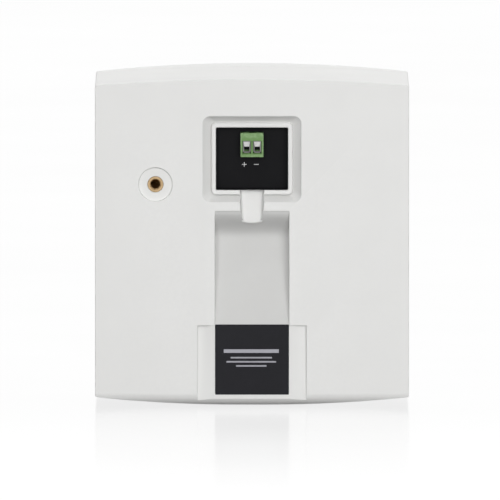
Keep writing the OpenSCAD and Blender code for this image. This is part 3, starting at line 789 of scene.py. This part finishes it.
def bands(tree, size, axis="Y", distortion=0.0):
    """Sine bands that repeat every size millimetres along an axis."""
    coords = node(tree, "ShaderNodeTexCoord")
    w = node(tree, "ShaderNodeTexWave", wave_type="BANDS", bands_direction=axis,
             Scale=math.pi / (10 * size * MM), Distortion=distortion)
    tree.links.new(coords.outputs["Object"], w.inputs["Vector"])
    return w.outputs["Fac"]


def mapped(tree, source, lo, hi, from_lo=0.3, from_hi=0.7):
    """Stretches a value from one range to another."""
    n = node(tree, "ShaderNodeMapRange")
    for key, value in (("From Min", from_lo), ("From Max", from_hi), ("To Min", lo), ("To Max", hi)):
        n.inputs[key].default_value = value
    tree.links.new(source, n.inputs["Value"])
    return n.outputs["Result"]


def mixed(tree, factor, a, b):
    """Colour between a and b; either may be a colour or a socket."""
    n = node(tree, "ShaderNodeMix", data_type="RGBA")
    tree.links.new(factor, n.inputs["Factor"])
    for socket, value in ((n.inputs[6], a), (n.inputs[7], b)):
        if isinstance(value, tuple):
            socket.default_value = (*value, 1)
        else:
            tree.links.new(value, socket)
    return n.outputs[2]


def scaled(color, k):
    return tuple(min(1.0, c * k) for c in color)


def product(tree, a, b, operation="MULTIPLY"):
    """Joins two values, by default by multiplying them."""
    n = node(tree, "ShaderNodeMath", operation=operation)
    tree.links.new(a, n.inputs[0])
    tree.links.new(b, n.inputs[1])
    return n.outputs[0]


def edge_mask(tree, width):
    """Bright along convex edges."""
    g = node(tree, "ShaderNodeNewGeometry")
    return mapped(tree, g.outputs["Pointiness"], 0, 1, 0.5 + width, 0.5 + width * 3)


def finish(name, color, rough=0.5, metal=0.0, grain=0.35, bump=0.02, vary=0.04, patch=35.0,
           wear=0.0, wear_color=None, relief=None, sheen=0.0, coat=0.0, specular=0.5):
    """A surface with cloudy tone, fine grain, worn edges and, if given, a relief pattern whose low places
    get painted shade.

    grain is the grain's size and bump its height, in millimetres. relief(tree) returns a height.
    """
    m, tree, bsdf = new_material(name)
    link = tree.links.new
    fine = noise(tree, grain)
    tone = mixed(tree, mapped(tree, noise(tree, patch, 4), 0, 1), scaled(color, 1 - vary),
                 scaled(color, 1 + vary))
    if relief:
        height = relief(tree)
        # Painted shade: the relief's low places are mixed towards a darker colour.
        tone = mixed(tree, height, scaled(color, 0.55), tone)
    if wear:
        worn = product(tree, edge_mask(tree, 0.02), mapped(tree, noise(tree, 3.0, 5), 0, wear))
        tone = mixed(tree, worn, tone, wear_color or scaled(color, 1.3))
    link(tone, bsdf.inputs["Base Color"])
    link(mapped(tree, fine, max(0.03, rough - 0.07), min(1, rough + 0.07)),
         bsdf.inputs["Roughness"])
    b = node(tree, "ShaderNodeBump", Strength=1.0, Distance=bump * MM)
    link(fine, b.inputs["Height"])
    normal = b.outputs["Normal"]
    if relief:
        r = node(tree, "ShaderNodeBump", Strength=0.8, Distance=0.15 * MM)
        link(height, r.inputs["Height"])
        link(normal, r.inputs["Normal"])
        normal = r.outputs["Normal"]
    link(normal, bsdf.inputs["Normal"])
    bsdf.inputs["Metallic"].default_value = metal
    bsdf.inputs["Sheen Weight"].default_value = sheen
    bsdf.inputs["Coat Weight"].default_value = coat
    bsdf.inputs["Specular IOR Level"].default_value = specular
    return m


def weave(size):
    """Relief of a plain weave whose threads are size millimetres apart."""
    return lambda tree: product(tree, bands(tree, size, "X"), bands(tree, size, "Z"), "MAXIMUM")


def turns(size, axis):
    """Relief of turns of wire, or of brushed or turned lines, size millimetres apart."""
    return lambda tree: bands(tree, size, axis, 0.4)


def strands(tree):
    """Relief of matted fibres."""
    return product(tree, noise(tree, 1.2, 6, 0.7), noise(tree, 6, 3), "ADD")


def materials():
    """One material for each slot in the record."""
    white = (0.75, 0.75, 0.738)
    return {
        "white_shell": finish("white_shell", white, 0.42, grain=0.5, bump=0.012, vary=0.012,
                              wear=0.25, wear_color=(0.86, 0.86, 0.85), specular=0.4),
        "white_steel": finish("white_steel", white, 0.48, grain=0.35, bump=0.02, vary=0.01,
                              specular=0.4),
        "brass": finish("brass", (0.54, 0.38, 0.21), 0.36, 1.0, grain=0.6, bump=0.01, vary=0.12,
                        patch=3, wear=0.5, wear_color=(0.70, 0.54, 0.34)),
        "label": finish("label", (0.020, 0.020, 0.023), 0.45, grain=0.25, bump=0.004, vary=0.1,
                        wear=0.2, specular=0.05),
        "black_plastic": finish("black_plastic", (0.009, 0.009, 0.010), 0.5, grain=0.3,
                                bump=0.015, vary=0.15, wear=0.2, specular=0.05),
        "baffle_plastic": finish("baffle_plastic", (0.05, 0.05, 0.052), 0.58, grain=0.5,
                                 bump=0.03, vary=0.1, wear=0.3),
        "green_plastic": finish("green_plastic", (0.118, 0.228, 0.070), 0.45, grain=0.3, bump=0.01,
                                vary=0.06, patch=6, wear=0.5, wear_color=(0.33, 0.47, 0.26)),
        "tinned": finish("tinned", (0.55, 0.55, 0.54), 0.32, 1.0, grain=0.3, bump=0.006,
                         vary=0.12, patch=2, wear=0.3),
        "board": finish("board", (0.03, 0.16, 0.07), 0.35, grain=0.4, bump=0.01, vary=0.1,
                        relief=weave(0.6), coat=0.3),
        "copper": finish("copper", (0.68, 0.32, 0.16), 0.3, 1.0, grain=0.2, bump=0.01,
                         vary=0.1, patch=3, relief=turns(0.7, "Y"), coat=0.4),
        "capacitor": finish("capacitor", (0.04, 0.06, 0.16), 0.3, grain=0.5, bump=0.008,
                            vary=0.1, coat=0.3, wear=0.3),
        "ceramic": finish("ceramic", (0.78, 0.77, 0.72), 0.75, grain=0.4, bump=0.05, vary=0.06,
                          patch=4),
        "red_wire": finish("red_wire", (0.45, 0.03, 0.03), 0.4, grain=0.4, bump=0.01, vary=0.1),
        "grey_wire": finish("grey_wire", (0.12, 0.12, 0.13), 0.4, grain=0.4, bump=0.01, vary=0.1),
        "wadding": finish("wadding", (0.80, 0.80, 0.78), 0.95, grain=0.5, bump=0.25, vary=0.06,
                          relief=strands, sheen=0.5),
        "foam": finish("foam", (0.04, 0.04, 0.04), 0.9, grain=0.3, bump=0.08, vary=0.15),
        "rubber": finish("rubber", (0.03, 0.03, 0.032), 0.55, grain=0.4, bump=0.012, vary=0.15,
                         sheen=0.15),
        "black_steel": finish("black_steel", (0.035, 0.035, 0.037), 0.45, 0.3, grain=0.35,
                              bump=0.02, vary=0.15, wear=0.4, wear_color=(0.3, 0.3, 0.3)),
        "dark_screws": finish("dark_screws", (0.06, 0.06, 0.065), 0.35, 0.9, grain=0.3,
                              bump=0.006, vary=0.2, patch=2, wear=0.6,
                              wear_color=(0.45, 0.45, 0.45)),
        "plated_steel": finish("plated_steel", (0.62, 0.62, 0.60), 0.3, 1.0, grain=0.3,
                               bump=0.006, vary=0.12, patch=2, wear=0.4,
                               relief=turns(0.35, "Y")),
        "ferrite": finish("ferrite", (0.06, 0.06, 0.062), 0.7, grain=0.3, bump=0.04, vary=0.15),
        "fibreboard": finish("fibreboard", (0.30, 0.20, 0.12), 0.75, grain=0.4, bump=0.03,
                             vary=0.15, relief=weave(0.5)),
        "tinsel": finish("tinsel", (0.62, 0.40, 0.25), 0.4, 0.9, grain=0.2, bump=0.03, vary=0.2,
                         patch=2, relief=turns(0.5, "X")),
        "spider_cloth": finish("spider_cloth", (0.62, 0.44, 0.16), 0.85, grain=0.3, bump=0.03,
                               vary=0.1, relief=weave(0.5), sheen=0.2),
        "cone_poly": finish("cone_poly", (0.05, 0.05, 0.052), 0.42, grain=0.8, bump=0.03,
                            vary=0.12, patch=12),
        "former": finish("former", (0.55, 0.42, 0.25), 0.5, grain=0.3, bump=0.01, vary=0.1),
        "dome_silk": finish("dome_silk", (0.02, 0.02, 0.022), 0.6, grain=0.3, bump=0.01,
                            vary=0.15, relief=weave(0.35), sheen=0.3, coat=0.15),
    }


def paint(obj, material):
    """Gives every face of an object one material."""
    obj.data.materials.clear()
    obj.data.materials.append(material)
    for p in obj.data.polygons:
        p.material_index = 0


# ---- assembly ----

looks = materials()
slot_of = {s["node"]: s["material_slot"] for s in frame["record"]["subparts"]}
for name, obj in frame["nodes"].items():
    paint(obj, looks[slot_of[name]])


def fit(obj, body, *nodes, slot=None, material=None):
    """Gives a new piece its body, the CAD nodes it stands for and its finish."""
    if body:
        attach(obj, body)
    if nodes:
        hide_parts(*nodes)
    slot = slot or slot_of[nodes[0]]
    paint(obj, material or looks[slot])
    return obj


def paint_shade_on_deep_contacts(contacts):
    """Leaves the contacts' tabs bright and paints the springs inside the plug nearly black, as painted shade
    in the plug's deep holes.
    """
    painted_shade = finish("contact_painted_shade", (0.02, 0.02, 0.02), 0.6, 0.6, grain=0.3, bump=0.006,
                  vary=0.2, patch=2, specular=0.1)
    contacts.data.materials.append(painted_shade)
    # Painted shade: faces deeper than the tabs get near-black metal.
    for face in contacts.data.polygons:
        if face.center.y / MM > TAB_BACK_Y:
            face.material_index = 1


def woofer_leads_to_cone():
    """Two braided leads from the cone to the terminal strip."""
    route = ((-28, 96.4), (-31, 92.4), (-36, 90), (-41, 89.8), (-45.2, 87))
    leads = []
    for name, z in (("tinsel_lead_upper", 5), ("tinsel_lead_lower", -5)):
        leads.append(braid(name, [(x, y, WOOFER_Z + z) for x, y in route], 0.45))
    return leads


shell = fit(cabinet_shell(), "cabinet", "rear_cabinet", "cabinet_walls")
# The channel's darker grey is painted shade; its coarser grain and roughness are the moulding's own.
texture_and_shade_channel(shell, finish("channel_texture_and_painted_shade", (0.62, 0.62, 0.61), 0.62, grain=0.7, bump=0.03,
                              vary=0.02, specular=0.3))
fit(lathe_by_angle("threaded_insert", insert_profile, INSERT_X, INSERT_Z, 64), "cabinet",
    "safety_insert")
fit(perforated_sheet(), "grille", "grille_mesh")
fit(damping_pad(), "cabinet", "damping_pad")

print_ink = finish("print_ink", (0.36, 0.36, 0.40), 0.5, grain=0.2, bump=0.003, vary=0.08)
fit(label_print(), "cabinet", slot="label", material=print_ink)
bright_ink = finish("bright_ink", (0.62, 0.62, 0.62), 0.5, grain=0.2, bump=0.003, vary=0.05)
fit(polarity_marks(), "cabinet", slot="black_plastic", material=bright_ink)
fit(window_liner(), "cabinet", slot="black_plastic")

# The clamp cages' dark grey is painted shade deep inside the plug, darker than their plated metal.
cage_metal_painted_shade = finish("cage_metal_painted_shade", (0.26, 0.26, 0.25), 0.4, 1.0, grain=0.3, bump=0.006,
                    vary=0.12, patch=2)
for name in ("clamp_cage_plus", "clamp_cage_minus"):
    paint(frame["nodes"][name], cage_metal_painted_shade)
# Painted shade: the contacts' faces deep inside the plug are made near black.
paint_shade_on_deep_contacts(frame["nodes"]["plug_contacts"])

surround = fit(woofer_surround(), None, "woofer_surround")
radial_blend(surround, "woofer_motion", WOOFER_Z, 56.5, 47.8)
spider = fit(woofer_spider(), None, "woofer_spider")
radial_blend(spider, "woofer_motion", WOOFER_Z, 34.0, 14.2)
dome_roll = fit(tweeter_surround(), None, "tweeter_surround")
radial_blend(dome_roll, "tweeter_motion", TWEETER_Z, 15.4, 13.0)
for lead in woofer_leads_to_cone():
    fit(lead, None, "woofer_tinsel_leads")
    radial_blend(lead, "woofer_motion", WOOFER_Z, 45.0, 28.5)


# ---- studio ----

def floor_material():
    """Lit paper white with a faint mirror image of what stands on it."""
    m, tree, bsdf = new_material("floor_paint")
    tree.nodes.remove(bsdf)
    paper = node(tree, "ShaderNodeEmission", Color=(1, 1, 1, 1), Strength=1.04)
    gloss = node(tree, "ShaderNodeBsdfGlossy", Roughness=0.15)
    mix = node(tree, "ShaderNodeMixShader")
    coords = node(tree, "ShaderNodeTexCoord")
    split = node(tree, "ShaderNodeSeparateXYZ")
    tree.links.new(coords.outputs["Object"], split.inputs[0])
    near = mapped(tree, split.outputs["Y"], 0.01, 0.24, -0.75, -0.05)
    patchy = mapped(tree, noise(tree, 300, 2), 0.9, 1.1)
    tree.links.new(product(tree, near, patchy), mix.inputs[0])
    tree.links.new(paper.outputs[0], mix.inputs[1])
    tree.links.new(gloss.outputs[0], mix.inputs[2])
    tree.links.new(mix.outputs[0], tree.nodes["Material Output"].inputs["Surface"])
    return m


def floor():
    """A pale floor that the cabinet stands on."""
    bm = bmesh.new()
    z = -BODY_H / 2 - 0.05
    r = 6000
    corners = [bm.verts.new((x, y, z)) for x, y in ((-r, -r), (r, -r), (r, r), (-r, r))]
    bm.faces.new(corners)
    obj = new_object("floor", bm)
    paint(obj, floor_material())
    obj.visible_diffuse = False
    obj.visible_glossy = False


def area_light(name, at, target, size, power):
    """A soft rectangular light, in metres and watts, that isn't seen or mirrored."""
    data = bpy.data.lights.new(name, "AREA")
    data.shape, data.energy = "RECTANGLE", power
    data.size, data.size_y = size
    obj = bpy.data.objects.new(name, data)
    bpy.context.scene.collection.objects.link(obj)
    obj.location = at
    obj.rotation_euler = (Vector(target) - Vector(at)).to_track_quat("-Z", "Y").to_euler()
    obj.visible_camera = False
    obj.visible_glossy = False


def studio_world():
    """White to the camera; a soft sky, darker towards the ground, for the light."""
    world = bpy.data.worlds.new("studio")
    bpy.context.scene.world = world
    world.use_nodes = True
    tree = world.node_tree
    tree.nodes.clear()
    coords = node(tree, "ShaderNodeTexCoord")
    split = node(tree, "ShaderNodeSeparateXYZ")
    tree.links.new(coords.outputs["Generated"], split.inputs[0])
    sky = mapped(tree, split.outputs["Z"], 0.04, 0.42, -0.25, 0.35)
    soft = node(tree, "ShaderNodeBackground")
    tree.links.new(sky, soft.inputs["Strength"])
    white = node(tree, "ShaderNodeBackground", Color=(1, 1, 1, 1), Strength=1.05)
    path = node(tree, "ShaderNodeLightPath")
    mix = node(tree, "ShaderNodeMixShader")
    out = node(tree, "ShaderNodeOutputWorld")
    seen = product(tree, path.outputs["Is Camera Ray"], path.outputs["Is Glossy Ray"], "MAXIMUM")
    tree.links.new(seen, mix.inputs[0])
    tree.links.new(soft.outputs[0], mix.inputs[1])
    tree.links.new(white.outputs[0], mix.inputs[2])
    tree.links.new(mix.outputs[0], out.inputs[0])


def camera():
    """A very long lens, slightly above the middle of the rear face."""
    data = bpy.data.cameras.new("camera")
    data.lens, data.sensor_width = 1600, 36
    data.clip_start, data.clip_end = 0.1, 200
    obj = bpy.data.objects.new("camera", data)
    bpy.context.scene.collection.objects.link(obj)
    distance, elevation = 16.14, math.radians(5.0)
    aim = Vector((-1.45, 0, -5.4)) * MM
    obj.location = aim + Vector((0, -math.cos(elevation), math.sin(elevation))) * distance
    obj.rotation_euler = (aim - obj.location).to_track_quat("-Z", "Y").to_euler()
    bpy.context.scene.camera = obj


floor()
studio_world()
area_light("front", (0.2, -2.2, 0.1), (0, 0, 0), (2.0, 2.0), 67)
area_light("above", (0.2, 0.9, 2.2), (0, 0, 0), (2.0, 2.0), 35)
camera()
bpy.context.scene.view_settings.view_transform = "Standard"
